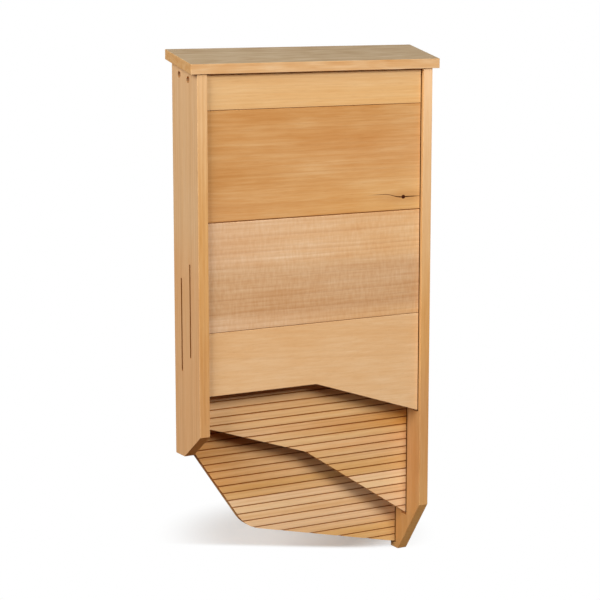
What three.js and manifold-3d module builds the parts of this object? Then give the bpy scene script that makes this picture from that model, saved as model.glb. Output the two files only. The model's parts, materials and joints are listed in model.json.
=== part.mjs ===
// A two-chamber bat box of bare timber that hangs on a wall, in millimetres.
// X runs from left to right as seen from the front, and Z points up. The wall is the plane y = 0,
// with the front at negative y. The wall screws carry the box at z = 0, on its two keyhole plates.
// Heights are worked out as drops below the top rear edge of the roof.
import * as THREE from "three";
import { mergeVertices } from "three/addons/utils/BufferGeometryUtils.js";
import Module from "manifold-3d";

const wasm = await Module();
wasm.setup();

// Carcass: the side boards stand outside the three panels of horizontal boards
const insideWidth = 385;
const sideThickness = 17;
const boardThickness = 14;
const frontRecess = 6;
const chamberGap = 19;

// Roof board, sloping down to the front, with plumb front and rear faces
const roofThickness = 15;
const roofPitchDegrees = 12.5;
const roofSideOverhang = 11.5;
const roofFrontOverhang = 3;

// Front panel: plain boards, the lowest with a level left half and a falling right half
const frontTopBoardWidth = 56.9;
const frontBoardWidth = 170.2;
const frontFullBoards = 2;
const frontLowBoardWidth = 99.2;
const frontRightFall = 64.2;

// Partition: its lower edge falls from the left to a knee on the centre line, then more steeply
const partitionReveal = 117.9;
const partitionLeftRise = 64.2;
const partitionRightFall = 128.3;

// Back panel: a steep edge from the left to a rounded corner, then a shallow edge to the right
const backReveal = 120.7;
const backLeftRise = 146.7;
const backCornerInset = 99.5;
const backRightFall = 66.2;
const backCornerRadius = 60;

// Grooves that the bats climb by, cut across the partition and the back
const groovePitch = 12.7;
const grooveWidth = 2.2;
const grooveDepth = 2;
const partitionJointBelowKnee = 51.6;
const backJointAboveCorner = 48.5;
const boardsAboveLowestJoint = 4;

// Feet of the side boards: level at the wall, with a bevel rising to the front edge
const footBelowBack = 11;
const leftBevelRun = 56;
const leftBevelRise = 41.2;
const rightBevelRun = 64.5;
const rightBevelRise = 91.5;

// Vents through the side boards, one long slot and one round hole for each chamber
const ventFromPartition = 8;
const slotWidth = 4;
const slotLength = 147;
const frontSlotDrop = 324.8;
const rearSlotExtraDrop = 24.7;
const ventHoleDiameter = 10;
const ventHoleBelowRoof = 16.5;

// Stopped housings in the side boards that hold the panels' ends
const housingDepth = 6;
const housingFrontPlay = 0.6;

// Dowels between the roof and the side boards
const dowelDiameter = 6;
const dowelLength = 24;
const dowelDepthInRoof = 8;

// Keyhole plates let into the back, each on two countersunk screws
const hangDrop = 100;
const keyholeInset = 62.5;
const plateWidth = 18;
const plateHeight = 44;
const plateThickness = 1.5;
const plateTopAboveHang = 16;
const keyholeEntryDiameter = 10;
const keyholeSlotWidth = 5;
const keyholeTravel = 12;
const pocketMargin = 1.5;
const pocketDepth = 7;
const screwInset = 6;
const screwHeadDiameter = 6.6;
const screwShankDiameter = 3.2;
const screwLength = 11;
const screwPointLength = 2;

// Fits and mesh steps
const fitGap = 0.3;
const overrun = 5;
const arcSteps = 10;
const roundSides = 12;

// Places worked out from the sizes above
const halfInside = insideWidth / 2;
const halfOutside = halfInside + sideThickness;
const panelPitch = boardThickness + chamberGap;
const sideDepth = frontRecess + 2 * panelPitch + boardThickness;
const roofSlope = Math.tan(THREE.MathUtils.degToRad(roofPitchDegrees));
const roofPlumbThickness = roofThickness / Math.cos(THREE.MathUtils.degToRad(roofPitchDegrees));
const frontY = -sideDepth + frontRecess;
const partitionY = frontY + panelPitch;
const backY = partitionY + panelPitch;

// Turns a drop below the roof's top rear edge into a height, and a height into a drop
const levelAt = (drop) => hangDrop - drop;
const roofTopAt = (y) => levelAt(0) + roofSlope * y;
const roofUndersideAt = (y) => roofTopAt(y) - roofPlumbThickness;

const frontTopJointDrop = levelAt(roofUndersideAt(frontY)) + frontTopBoardWidth;
const frontFlatDrop = frontTopJointDrop + frontFullBoards * frontBoardWidth + frontLowBoardWidth;
const kneeDrop = frontFlatDrop + partitionReveal;
const backCornerDrop = kneeDrop + backReveal;
const backLeftDrop = backCornerDrop - backLeftRise;
const backRightDrop = backCornerDrop + backRightFall;

const timber = (color) => new THREE.MeshStandardMaterial({ color, roughness: 0.75, metalness: 0 });
const steel = (color) => new THREE.MeshStandardMaterial({ color, roughness: 0.4, metalness: 0.9 });

// Solids: closed geometries go to manifold-3d to be joined and cut, and come back as geometries
function toSolid(geometry) {
  const bare = geometry.clone();
  bare.deleteAttribute("normal");
  bare.deleteAttribute("uv");
  const merged = mergeVertices(bare);
  const vertProperties = new Float32Array(merged.attributes.position.array);
  const triVerts = new Uint32Array(merged.index.array);
  return new wasm.Manifold(new wasm.Mesh({ numProp: 3, vertProperties, triVerts }));
}

function toGeometry(solid) {
  const mesh = solid.getMesh();
  const geometry = new THREE.BufferGeometry();
  geometry.setAttribute("position", new THREE.BufferAttribute(mesh.vertProperties, mesh.numProp));
  geometry.setIndex(new THREE.BufferAttribute(mesh.triVerts, 1));
  geometry.computeVertexNormals();
  return geometry;
}

// A box between two corners
function block([x0, y0, z0], [x1, y1, z1]) {
  const geometry = new THREE.BoxGeometry(x1 - x0, y1 - y0, z1 - z0);
  geometry.translate((x0 + x1) / 2, (y0 + y1) / 2, (z0 + z1) / 2);
  return toSolid(geometry);
}

const polygon = (points) => new THREE.Shape(points.map(([a, b]) => new THREE.Vector2(a, b)));

// An outline of (x, z) points, extruded along Y
function prismAlongY(points, y0, y1) {
  const geometry = new THREE.ExtrudeGeometry(polygon(points), { depth: y1 - y0, bevelEnabled: false });
  geometry.rotateX(Math.PI / 2);
  geometry.translate(0, y1, 0);
  return toSolid(geometry);
}

// An outline of (y, z) points, extruded along X
function prismAlongX(points, x0, x1) {
  const geometry = new THREE.ExtrudeGeometry(polygon(points), { depth: x1 - x0, bevelEnabled: false });
  const alongX = new THREE.Matrix4().makeBasis(
    new THREE.Vector3(0, 1, 0),
    new THREE.Vector3(0, 0, 1),
    new THREE.Vector3(1, 0, 0),
  );
  geometry.applyMatrix4(alongX);
  geometry.translate(x0, 0, 0);
  return toSolid(geometry);
}

// A round bar along X, Y or Z, centred on a point
function bar(axis, diameter, length, [x, y, z]) {
  const geometry = new THREE.CylinderGeometry(diameter / 2, diameter / 2, length, roundSides);
  if (axis === "x") geometry.rotateZ(Math.PI / 2);
  if (axis === "z") geometry.rotateX(Math.PI / 2);
  geometry.translate(x, y, z);
  return toSolid(geometry);
}

// An upright oblong with round ends, as (x, z) points
function oblong(x, zLow, zHigh, width) {
  const points = [];
  for (let step = 0; step <= arcSteps; step += 1) {
    const angle = (Math.PI * step) / arcSteps;
    points.push([x + (width / 2) * Math.cos(angle), zHigh + (width / 2) * Math.sin(angle)]);
  }
  for (let step = 0; step <= arcSteps; step += 1) {
    const angle = Math.PI + (Math.PI * step) / arcSteps;
    points.push([x + (width / 2) * Math.cos(angle), zLow + (width / 2) * Math.sin(angle)]);
  }
  return points;
}

const joined = (solids) => solids.reduce((all, one) => all.add(one));
const cutBy = (solid, cutters) => (cutters.length ? solid.subtract(joined(cutters)) : solid);

// The space that the roof board takes, with its fit gap: everything below it stops here
const roofSpace = prismAlongX(
  [
    [-sideDepth - overrun, roofUndersideAt(-sideDepth - overrun) - fitGap],
    [overrun, roofUndersideAt(overrun) - fitGap],
    [overrun, levelAt(0) + overrun],
    [-sideDepth - overrun, levelAt(0) + overrun],
  ],
  -halfOutside - overrun,
  halfOutside + overrun,
);

// Lower edges of the panels, as (x, z) points from left to right between the side boards
const frontEdge = [
  [-halfInside, levelAt(frontFlatDrop)],
  [0, levelAt(frontFlatDrop)],
  [halfInside, levelAt(frontFlatDrop + frontRightFall)],
];
const partitionEdge = [
  [-halfInside, levelAt(kneeDrop - partitionLeftRise)],
  [0, levelAt(kneeDrop)],
  [halfInside, levelAt(kneeDrop + partitionRightFall)],
];
const backEdge = rounded(
  [
    [-halfInside, levelAt(backLeftDrop)],
    [-halfInside + backCornerInset, levelAt(backCornerDrop)],
    [halfInside, levelAt(backRightDrop)],
  ],
  backCornerRadius,
);

// Rounds the middle one of three points with an arc that touches both straights
function rounded([before, corner, after], radius) {
  const at = new THREE.Vector2(...corner);
  const towardBefore = new THREE.Vector2(...before).sub(at).normalize();
  const towardAfter = new THREE.Vector2(...after).sub(at).normalize();
  const halfAngle = Math.acos(towardBefore.dot(towardAfter)) / 2;
  const toCentre = towardBefore.clone().add(towardAfter).normalize();
  const centre = at.clone().addScaledVector(toCentre, radius / Math.sin(halfAngle));
  const start = at.clone().addScaledVector(towardBefore, radius / Math.tan(halfAngle)).sub(centre);
  const turn = Math.PI - 2 * halfAngle;
  const points = [before];
  for (let step = 0; step <= arcSteps; step += 1) {
    const spoke = start.clone().rotateAround(new THREE.Vector2(), (turn * step) / arcSteps);
    points.push([centre.x + spoke.x, centre.y + spoke.y]);
  }
  return [...points, after];
}

// Carries the two ends of a lower edge on, at their own slopes, into the housings
function intoHousings(edge) {
  const reach = housingDepth - fitGap;
  const onward = ([x0, z0], [x1, z1], x) => [x, z1 + ((z1 - z0) / (x1 - x0)) * (x - x1)];
  const left = onward(edge[1], edge[0], -halfInside - reach);
  const right = onward(edge[edge.length - 2], edge[edge.length - 1], halfInside + reach);
  return [left, ...edge, right];
}

// Joints between the boards of a grooved panel, as drops: the boards are whole numbers of grooves wide
function groovedJoints(lowestDrop) {
  const rowsPerBoard = Math.round(lowestDrop / (boardsAboveLowestJoint * groovePitch));
  const joints = [];
  for (let board = 0; board < boardsAboveLowestJoint; board += 1) {
    joints.unshift(lowestDrop - board * rowsPerBoard * groovePitch);
  }
  return joints;
}

const frontJoints = [];
for (let board = 0; board <= frontFullBoards; board += 1) {
  frontJoints.push(frontTopJointDrop + board * frontBoardWidth);
}
const partitionJoints = groovedJoints(kneeDrop + partitionJointBelowKnee);
const backJoints = groovedJoints(backCornerDrop - backJointAboveCorner);

const panels = [
  { name: "front_board", faceY: frontY, edge: frontEdge, joints: frontJoints },
  { name: "partition_board", faceY: partitionY, edge: partitionEdge, joints: partitionJoints, grooved: true },
  { name: "back_board", faceY: backY, edge: backEdge, joints: backJoints, grooved: true },
];

// One groove at each pitch over the whole height of a panel, in step with its joints
function grooves(panel, lowest) {
  const cutters = [];
  const bottom = panel.joints[panel.joints.length - 1];
  const rowsBelow = Math.floor((levelAt(bottom) - lowest) / groovePitch);
  for (let row = -rowsBelow; bottom - row * groovePitch > 0; row += 1) {
    const z = levelAt(bottom - row * groovePitch);
    cutters.push(
      block(
        [-halfOutside, panel.faceY - overrun, z - grooveWidth / 2],
        [halfOutside, panel.faceY + grooveDepth, z + grooveWidth / 2],
      ),
    );
  }
  return cutters;
}

// The boards of a panel, from the top down: the panel's outline cut along its joints
function boardsOf(panel) {
  const edge = intoHousings(panel.edge);
  const left = edge[0][0];
  const right = edge[edge.length - 1][0];
  const outline = [[right, levelAt(0)], [left, levelAt(0)], ...edge];
  const lowest = Math.min(...edge.map(([, z]) => z));
  const cutters = [roofSpace, ...(panel.grooved ? grooves(panel, lowest) : [])];
  const whole = cutBy(prismAlongY(outline, panel.faceY, panel.faceY + boardThickness), cutters);
  const tops = [0, ...panel.joints];
  const bottoms = [...panel.joints, levelAt(lowest) + overrun];
  return tops.map((top, index) => {
    const high = levelAt(top) - (index ? fitGap / 2 : 0);
    const low = levelAt(bottoms[index]) + (index < panel.joints.length ? fitGap / 2 : 0);
    const band = block([left - overrun, panel.faceY - overrun, low], [right + overrun, overrun, high]);
    return { name: `${panel.name}_${index + 1}`, solid: whole.intersect(band), low, high };
  });
}

// The housing that holds one end of a panel: open at the top, stopped under the panel's corner
function housing(panel, side) {
  const reach = halfInside + housingDepth;
  const edge = intoHousings(panel.edge);
  const ends = side < 0 ? edge.slice(0, 2) : edge.slice(-2);
  const stop = Math.min(...ends.map(([, z]) => z)) - fitGap;
  const rear = panel.faceY === backY ? overrun : panel.faceY + boardThickness + fitGap;
  const inner = side * (halfInside - overrun);
  const outer = side * reach;
  return block(
    [Math.min(inner, outer), panel.faceY - housingFrontPlay, stop],
    [Math.max(inner, outer), rear, levelAt(0)],
  );
}

// The long slot and the round hole that air one chamber, through a side board
function vents(side, y, slotDrop) {
  const half = slotWidth / 2;
  const x0 = side < 0 ? -halfOutside - overrun : halfInside - overrun;
  const x1 = side < 0 ? -halfInside + overrun : halfOutside + overrun;
  const slotTop = levelAt(slotDrop) - half;
  const slotLow = levelAt(slotDrop + slotLength) + half;
  const slot = prismAlongX(oblong(y, slotLow, slotTop, slotWidth), x0, x1);
  const holeZ = roofUndersideAt(y) - ventHoleBelowRoof;
  const hole = bar("x", ventHoleDiameter, x1 - x0, [(x0 + x1) / 2, y, holeZ]);
  return [slot, hole];
}

const chamberVents = [
  { y: partitionY - ventFromPartition, drop: frontSlotDrop },
  { y: partitionY + boardThickness + ventFromPartition, drop: frontSlotDrop + rearSlotExtraDrop },
];

// Upright dowels in the side boards' tops, beside the front panel's and the back panel's ends
const dowelX = halfInside + housingDepth + (sideThickness - housingDepth) / 2;
const dowelPlaces = [-1, 1].flatMap((side) => [
  { x: side * dowelX, y: frontY + boardThickness / 2 },
  { x: side * dowelX, y: backY + boardThickness / 2 },
]);
const dowelCentreZ = (y) => roofUndersideAt(y) + dowelDepthInRoof - dowelLength / 2;
const dowelSolid = ({ x, y }) => bar("z", dowelDiameter, dowelLength, [x, y, dowelCentreZ(y)]);
const dowelHole = ({ x, y }) => {
  const diameter = dowelDiameter + 2 * fitGap;
  return bar("z", diameter, dowelLength + 2 * fitGap, [x, y, dowelCentreZ(y)]);
};
const dowelHoles = dowelPlaces.map(dowelHole);

function sideBoard(side) {
  const footDrop = (side < 0 ? backLeftDrop : backRightDrop) + footBelowBack;
  const bevelRun = side < 0 ? leftBevelRun : rightBevelRun;
  const bevelRise = side < 0 ? leftBevelRise : rightBevelRise;
  const outline = [
    [0, levelAt(0)],
    [-sideDepth, levelAt(0)],
    [-sideDepth, levelAt(footDrop - bevelRise)],
    [-sideDepth + bevelRun, levelAt(footDrop)],
    [0, levelAt(footDrop)],
  ];
  const x0 = side < 0 ? -halfOutside : halfInside;
  const board = prismAlongX(outline, x0, x0 + sideThickness);
  return cutBy(board, [
    roofSpace,
    ...panels.map((panel) => housing(panel, side)),
    ...chamberVents.flatMap(({ y, drop }) => vents(side, y, drop)),
    ...dowelHoles,
  ]);
}

function roofBoard() {
  const half = halfOutside + roofSideOverhang;
  const eaves = -sideDepth - roofFrontOverhang;
  const outline = [
    [eaves, roofUndersideAt(eaves)],
    [0, roofUndersideAt(0)],
    [0, roofTopAt(0)],
    [eaves, roofTopAt(eaves)],
  ];
  return cutBy(prismAlongX(outline, -half, half), dowelHoles);
}

// A countersunk screw that points into the box from the wall side
function screwSolid(x, z, clearance) {
  const head = screwHeadDiameter / 2 + clearance;
  const shank = screwShankDiameter / 2 + clearance;
  const length = screwLength + clearance;
  const profile = [
    [0, 0],
    [head, 0],
    [shank, plateThickness],
    [shank, length - screwPointLength],
    [0, length],
  ];
  const points = profile.map(([radius, depth]) => new THREE.Vector2(radius, depth));
  const geometry = new THREE.LatheGeometry(points, roundSides);
  geometry.rotateX(Math.PI);
  geometry.translate(x, 0, z);
  return toSolid(geometry);
}

const hangerXs = [-halfInside + keyholeInset, halfInside - keyholeInset];
const plateLow = plateTopAboveHang - plateHeight;
const screwZs = [plateTopAboveHang - screwInset, plateLow + screwInset];

function keyholePlate(x) {
  const plate = block(
    [x - plateWidth / 2, -plateThickness, plateLow],
    [x + plateWidth / 2, 0, plateTopAboveHang],
  );
  const slot = prismAlongY(oblong(x, -keyholeTravel, 0, keyholeSlotWidth), -overrun, overrun);
  const entry = bar("y", keyholeEntryDiameter, 2 * overrun, [x, 0, -keyholeTravel]);
  return cutBy(plate, [slot, entry, ...screwZs.map((z) => screwSolid(x, z, fitGap))]);
}

// The recess for a plate, the pocket for the wall screw's head, and the screws' own holes
function hangerRecess(x) {
  const seat = plateThickness + fitGap;
  const recess = block(
    [x - plateWidth / 2 - fitGap, -seat, plateLow - fitGap],
    [x + plateWidth / 2 + fitGap, overrun, plateTopAboveHang + fitGap],
  );
  const pocketWidth = keyholeEntryDiameter + pocketMargin;
  const pocket = prismAlongY(oblong(x, -keyholeTravel, 0, pocketWidth), -seat - pocketDepth, 0);
  return [recess, pocket, ...screwZs.map((z) => screwSolid(x, z, fitGap))];
}

const batBox = new THREE.Group();

// Adds a piece whose mesh is centred on its own box and placed by its position
function addPiece(parent, name, solid, material) {
  const geometry = toGeometry(solid);
  geometry.computeBoundingBox();
  const place = geometry.boundingBox.getCenter(new THREE.Vector3());
  geometry.translate(-place.x, -place.y, -place.z);
  const mesh = new THREE.Mesh(geometry, material);
  mesh.name = name;
  mesh.position.copy(place);
  parent.add(mesh);
}

const carcass = new THREE.Group();
addPiece(carcass, "side_board_left", sideBoard(-1), timber(0xd2a87a));
addPiece(carcass, "side_board_right", sideBoard(1), timber(0xd9ad7e));
addPiece(carcass, "roof_board", roofBoard(), timber(0xc9a77e));
dowelPlaces.forEach((place, index) => {
  addPiece(carcass, `roof_dowel_${index + 1}`, dowelSolid(place), timber(0xdcc19a));
});
batBox.add(carcass);

const panelTimbers = {
  front_board: [0xdfae73, 0xd29f65, 0xcc9e6f, 0xd8ad80],
  partition_board: [0xcf9f68, 0xcb9b66, 0xd0a26c, 0xcf9d64, 0xe0b982],
  back_board: [0xcc9c65, 0xd0a06a, 0xcb9a62, 0xc99a60, 0xddb17c],
};
const hangerHoles = hangerXs.flatMap(hangerRecess);
for (const panel of panels) {
  const group = new THREE.Group();
  const colours = panelTimbers[panel.name];
  boardsOf(panel).forEach(({ name, solid, low, high }, index) => {
    const holdsHangers = panel.faceY === backY && low < plateTopAboveHang && high > plateLow;
    const finished = holdsHangers ? cutBy(solid, hangerHoles) : solid;
    addPiece(group, name, finished, timber(colours[index % colours.length]));
  });
  batBox.add(group);
}

const hangers = new THREE.Group();
hangerXs.forEach((x, index) => {
  const side = index ? "right" : "left";
  addPiece(hangers, `keyhole_plate_${side}`, keyholePlate(x), steel(0xb9bbbd));
  screwZs.forEach((z, row) => {
    addPiece(hangers, `plate_screw_${side}_${row + 1}`, screwSolid(x, z, 0), steel(0xa8aaac));
  });
});
batBox.add(hangers);

export default batBox;
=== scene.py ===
import json
from math import asin, atan2, pi, radians, sqrt

import bmesh
import bpy
from mathutils import Matrix, Vector


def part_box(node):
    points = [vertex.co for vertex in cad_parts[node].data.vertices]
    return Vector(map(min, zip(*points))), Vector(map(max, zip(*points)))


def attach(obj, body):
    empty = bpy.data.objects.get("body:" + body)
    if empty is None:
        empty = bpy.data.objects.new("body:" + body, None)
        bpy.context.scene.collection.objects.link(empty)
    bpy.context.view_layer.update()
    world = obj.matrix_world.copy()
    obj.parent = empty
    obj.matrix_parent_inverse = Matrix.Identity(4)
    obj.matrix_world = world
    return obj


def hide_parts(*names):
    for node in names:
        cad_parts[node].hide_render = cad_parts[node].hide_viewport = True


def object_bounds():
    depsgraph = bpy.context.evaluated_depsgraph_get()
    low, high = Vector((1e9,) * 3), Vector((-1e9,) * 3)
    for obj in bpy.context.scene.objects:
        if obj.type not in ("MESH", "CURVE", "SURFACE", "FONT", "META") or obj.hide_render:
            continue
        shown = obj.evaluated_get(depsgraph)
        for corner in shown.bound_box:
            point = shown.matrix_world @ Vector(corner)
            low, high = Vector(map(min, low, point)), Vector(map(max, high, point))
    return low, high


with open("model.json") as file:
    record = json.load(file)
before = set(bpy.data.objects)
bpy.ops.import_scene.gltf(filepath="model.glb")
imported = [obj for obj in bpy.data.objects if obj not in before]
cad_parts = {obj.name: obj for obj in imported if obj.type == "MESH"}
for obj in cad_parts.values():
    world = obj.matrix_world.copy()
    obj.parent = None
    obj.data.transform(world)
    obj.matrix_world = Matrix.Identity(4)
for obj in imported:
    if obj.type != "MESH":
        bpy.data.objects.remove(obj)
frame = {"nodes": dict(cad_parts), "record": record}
solid_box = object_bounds()

# The top rear edge of the roof, from which heights are given as drops, and the ground under the foot
TOP = solid_box[1].z
GROUND = solid_box[0].z

# Faces of the box: the side boards' inner and outer faces, and the grooved or plain faces of the three panels
INNER_FACE = 0.1925
OUTER_FACE = 0.2095
FRONT_FACE = -0.080
PARTITION_FACE = -0.047
BACK_FACE = -0.014

# Easing of the planed and sawn arrises, and the shortest edge that is eased on the sides and on the roof
BOARD_EASE = 0.0006
JOINT_EASE = 0.0009
GROOVED_EASE = 0.00025
VENT_EASE = 0.00025
EASE_STEPS = 2
SIDE_ARRIS = 0.003
ROOF_ARRIS = 0.006

# The front's joint that is a little more open than the others, and how near to it an edge lies before easing
# and after it
WIDE_JOINT = -0.1602
WIDE_JOINT_EASE = 0.0014
JOINT_ROOM = 0.0005
EASED_ROOM = 0.002

# The narrow gap at both ends of a panel's face: where it begins, where it is full, and its depth
SHOULDER_START = 0.1910
SHOULDER_FULL = 0.1911
SHOULDER_DEPTH = 0.0015

# Limits for joining a mesh's corners and for choosing its edges
MERGE_DISTANCE = 0.0001
WELD_DISTANCE = 0.00002
FLAT_ANGLE = radians(0.5)
ARRIS_ANGLE = radians(25)
PLATE_ARRIS_ANGLE = radians(60)
LEVEL_LIMIT = 0.00001

# Vents through the side boards: the depth and height of each round hole, the middle between the two depths
# and their distance, a hole's radius, and how far a vent's wall is from the vent's depth at most
VENT_HOLES = ((-0.055, 0.0559), (-0.025, 0.0626))
VENT_MIDDLE = -0.040
VENT_SPACING = 0.030
VENT_RADIUS = 0.005
VENT_LIMIT = 0.0052
RIM_CUTS = 2

# Where a vent's wall has painted shade, as the two ends of each soft change: behind the outer face, beside
# the vent, and down the slots. The round holes above the slots get only a share of it
VENT_DARK_FROM = (0.0002, 0.0012)
VENT_DARK_TO = (0.008, 0.011)
VENT_DARK_REACH = (0.0053, 0.0058)
VENT_SLOT_TOP = (-0.2, 0)
VENT_SLOT_FOOT = (-0.43, -0.41)
VENT_HOLE_SHARE = 0.35

# Keyhole plates let into the back, and the room round them in their board
HANGER_X = 0.130
HANGER_ROOM = 0.012
PLATE_CORNER = 0.0022
PLATE_EASE = 0.0002
KEYHOLE_ENTRY_RADIUS = 0.005
KEYHOLE_ENTRY_Z = -0.012
KEYHOLE_SLOT_RADIUS = 0.0025
PLATE_SCREW_INSET = 0.006
PLATE_HOLE_RADIUS = 0.0021
COUNTERSINK = 0.0013
CORNER_STEPS = 6
ROUND_STEPS = 32

# Countersunk screws with a cross recess
SCREW_HEAD_DEPTH = 0.0015
SCREW_SHANK_RADIUS = 0.0016
SCREW_ROOT_RADIUS = 0.0011
SCREW_POINT_LENGTH = 0.002
THREAD_START = 0.003
THREAD_PITCH = 0.0012
THREAD_ROWS_PER_TURN = 6
CROSS_ARM = 0.0019
CROSS_DEPTH = 0.0011
CROSS_TAPER = 0.6

# Fluted dowels between the roof and the side boards
DOWEL_CHAMFER = 0.0008
DOWEL_FLUTES = 12
DOWEL_FLUTE_DEPTH = 0.0003
STEPS_PER_FLUTE = 4

# Timber colours, as they look in plain light, but for the roof top's painted sheen and the bevels' painted
# light
TIMBER = {
    # painted sheen: a greyer tone for the roof's top, standing in for the white room's reflection at a
    # grazing view
    "painted_sheen": "b39a78",
    "wheat": "d4a978",
    "gold": "daab70",
    "straw": "d7ac77",
    "honey": "c48f56",
    "amber": "ca8c44",
    "caramel": "ca955e",
    "ginger": "d29758",
    "toffee": "d19d60",
    "blush": "d7b089",
    "driftwood": "c99e73",
    "sand": "deac78",
    "peach": "daad7b",
    "rose": "deb484",
    "almond": "dbb180",
    "butter": "e5b783",
    "apricot": "e1b172",
    "shell": "eac193",
    "cream": "ecc695",
    # painted light: paler tones for the foot bevels, standing in for light thrown up from the floor
    "painted_shading": "f8b76c",
    "painted_floor_light": "f8c37e",
}
WHITE = (1, 1, 1, 1)
BLACK = (0, 0, 0, 1)

# What darkens timber, as factors on its colour, and how strongly
LATE_WOOD = (0.62, 0.45, 0.3, 1)
PORE = (0.55, 0.38, 0.25, 1)
PORE_STRENGTH = 0.15
CROSS_CUT = (1, 0.94, 0.8, 1)
# painted shade: darkens the panels' grooves, joints and end gaps, where shade falls
CREASE_SHADE = (0.47, 0.25, 0.08, 1)
CREASE_SHADE_STRENGTH = 0.85
# painted shade: darkens the walls of the vents, where shade falls
VENT_SHADE = (0.64, 0.37, 0.19, 1)
KNOT_RIM = (0.62, 0.4, 0.22, 1)
KNOT_RIM_STRENGTH = 0.35
KNOT_BARK = "3a1606"

# The timber's figure: the value that noise lies round, how far the grain sways, and the sizes of its parts
# along the grain and twice across it
NOISE_MIDDLE = 0.5
SWAY = 0.01
SWAY_SIZE = (0.6, 0.11, 0.11)
STREAK_SIZE = (0.33, 0.0105, 0.0105)
FIBRE_SIZE = (0.05, 0.0022, 0.0022)
CLOUD_SIZE = (0.14, 0.05, 0.05)
FLAME_SIZE = (0.05, 0.007, 0.007)
RIPPLE_SIZE = (0.003, 0.012, 0.012)
PORE_SIZE = (0.017, 0.0006, 0.0006)
PORE_EDGE = (0.6, 0.72)
FIBRE_STRENGTH = 0.34

# A year's ring: where its dark late wood begins, is full and ends, and how the years differ
LATE_WOOD_RISE = (0.2, 0.85)
LATE_WOOD_FALL = (0.88, 1.0)
FAINTEST_RING = 0.35
GROWTH_PACE = 0.31
GROWTH_SHIFT = 1.6

# How rough and how deep the timber's surface is
TIMBER_ROUGHNESS = 0.5
FIBRE_ROUGHNESS = 0.18
CROSS_CUT_ROUGHNESS = 0.15
TIMBER_GLOSS = 0.1
RING_HEIGHT = 0.25
PORE_HEIGHT = -0.6
GRAIN_STRENGTH = 0.5
GRAIN_DEPTH = 0.00015

# Ways that the grain runs, as a turn of the pith from the X axis
LEVEL = (0, 0, 0)
UPRIGHT = (0, radians(90), 0)

# Ways that some faces look, with tones of their own; the roof's top has a painted sheen, the bevels painted
# light
TO_FRONT = (0, -1, 0)
TO_BACK = (0, 1, 0)
UP_THE_ROOF = (0, -0.2165, 0.9763)
# The foot bevels face down; their paler tones are painted light from the floor
LEFT_BEVEL = (0, -0.593, -0.805)
RIGHT_BEVEL = (0, -0.817, -0.576)

# How far a face turns across the grain before it shows end grain, and how straight it looks one way
END_GRAIN_EDGE = (0.25, 0.55)
FACING_EDGE = (0.85, 0.97)

# Depths behind a panel's face: where the painted shade in a groove, a joint or an end gap begins and is
# darkest, and where it is light again, so that the plain rear stays clean
GROOVE_SHADE = (0.0003, 0.0012)
JOINT_SHADE = (0.0001, 0.0005)
SHADE_FADE = (0.006, 0.009)

# The pin knot: its size, its bark seam's rise, half width and ends to the left and right, and the halo in
# which the grain bends round it
KNOT_RADIUS = 0.003
KNOT_EDGE = (0.85, 1.25)
KNOT_FLATNESS = (0.9, 0, 1)
SEAM_RISE = 0.0058
SEAM_RISE_FROM = (0.004, 0.036)
SEAM_HALF_WIDTH = (0.0014, 0.0006)
SEAM_TAPER = 0.03
SEAM_EDGE = (0.35, 1)
SEAM_LEFT_END = (0.03, 0.076)
SEAM_RIGHT_END = (0.02, 0.04)
HALO_EDGE = (0.002, 0.016)
HALO_FLATNESS = (0.25, 0, 1)
HALO_PUSH = -0.75

# Zinc plating: colours of plates and screws, new and worn, and the size and depth of wear and scratches
PLATE_ZINC = "b9bab8"
PLATE_WEAR = "8f8f8a"
SCREW_ZINC = "a6a8a9"
SCREW_WEAR = "83837f"
WEAR_SIZE = (0.004, 0.004, 0.004)
WEAR_EDGE = (0.35, 0.7)
SCRATCH_SIZE = (0.00025, 0.0011, 0.0045)
ZINC_ROUGHNESS = 0.22
WEAR_ROUGHNESS = 0.3
SCRATCH_STRENGTH = 0.3
SCRATCH_DEPTH = 0.00005

# Studio: a key from the front, a fill from the left, and low lamps for the sides that are turned away
AMBIENT = 0.004
KEY_AZIMUTH = 8
KEY_ELEVATION = 29
KEY_DISTANCE = 3
KEY_SIZE = 1.15
KEY_STRENGTH = 0.82
FILL_AZIMUTH = -68
FILL_ELEVATION = 26
FILL_DISTANCE = 4.5
FILL_SIZE = 2.2
FILL_STRENGTH = 0.925
RIGHT_AZIMUTH = 100
BACK_AZIMUTH = 172
LOW_ELEVATION = -2
LOW_SIZE = 0.9
RIGHT_STRENGTH = 0.72
BACK_STRENGTH = 0.82

# Floor: its size, the colour that it throws back, and its shadow's front boundary, reach and depth
FLOOR_SIZE = 400
FLOOR_BOUNCE = (0.065, 0.02, 0.006, 1)
SHADED_FLOOR = (0.9, 0.9, 0.9, 1)
SHADOW_CORNER = (0.175, -0.024, 0)
SHADOW_WAY = (0.55, 0.835, 0)
SHADOW_BRIM = 0.022
SHADOW_CENTRE = (0.09, 0.15, 0)
SHADOW_START = 0.1
SHADOW_END = 0.25
SHADOW_GLOW = 0.18

# Camera at the photographed angle, for a square picture
CAMERA_PLACE = (-1.4432, -2.5924, 0.2009)
CAMERA_YAW = 29.355
CAMERA_PITCH = 9.688
CAMERA_FOCAL_PIXELS = 1864.1
FRAME_PIXELS = 600


def linear(code):
    """The linear colour of an sRGB hex code, with full alpha."""
    channels = [int(code[place:place + 2], 16) / 255 for place in (0, 2, 4)]
    return tuple(c / 12.92 if c <= 0.04045 else ((c + 0.055) / 1.055) ** 2.4 for c in channels) + (1,)


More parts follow.
